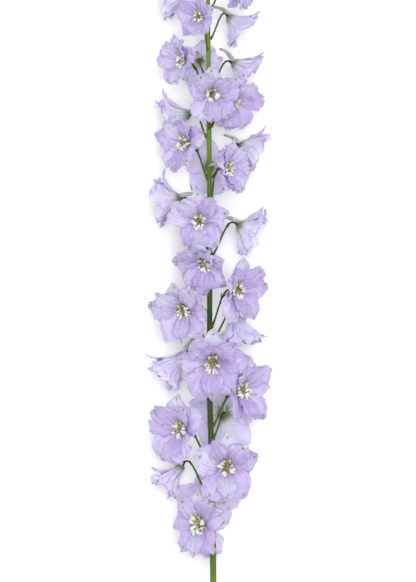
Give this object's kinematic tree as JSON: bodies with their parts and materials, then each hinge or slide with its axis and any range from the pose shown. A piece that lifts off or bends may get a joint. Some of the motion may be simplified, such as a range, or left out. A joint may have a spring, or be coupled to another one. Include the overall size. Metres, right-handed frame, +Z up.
{
  "type": "delphinium flower spike",
  "caption": "Cut delphinium spike lying on a surface: slender green stem, pale lilac semi-double flowers on curved pedicels, and small buds at the tip.",
  "frame": {"origin": "middle of the footprint, on the surface that the cut spike lies on", "axes": "+Y along the stem towards its tip, +X across the spike, +Z up from the surface"},
  "size_m": [0.098, 0.665, 0.0833],
  "materials": {
    "stem": "satin",
    "sepal": "matte",
    "bud": "matte"
  },
  "bodies": {
    "root": {"stem": "stem", "flower_01": "sepal", "flower_02": "sepal", "flower_03": "sepal", "flower_04": "sepal", "flower_05": "sepal", "flower_06": "sepal", "flower_07": "sepal", "flower_08": "sepal", "flower_09": "sepal", "flower_10": "sepal", "flower_11": "sepal", "flower_12": "sepal", "flower_13": "sepal", "flower_14": "sepal", "flower_15": "sepal", "flower_16": "sepal", "flower_17": "sepal", "flower_18": "sepal", "flower_19": "sepal", "flower_20": "sepal", "flower_21": "sepal", "flower_22": "sepal", "flower_23": "sepal", "flower_24": "sepal", "flower_25": "sepal", "flower_26": "sepal", "flower_27": "sepal", "flower_28": "sepal", "flower_29": "sepal", "flower_30": "sepal", "flower_31": "sepal", "flower_32": "sepal", "flower_33": "sepal", "flower_34": "sepal", "flower_35": "sepal", "flower_36": "sepal", "flower_37": "sepal", "flower_38": "sepal", "flower_39": "sepal", "bud_01": "bud", "bud_02": "bud", "bud_03": "bud", "bud_04": "bud", "bud_05": "bud", "bud_06": "bud", "bud_07": "bud", "bud_08": "bud", "bud_09": "bud", "bud_10": "bud"}
  },
  "joints": []
}
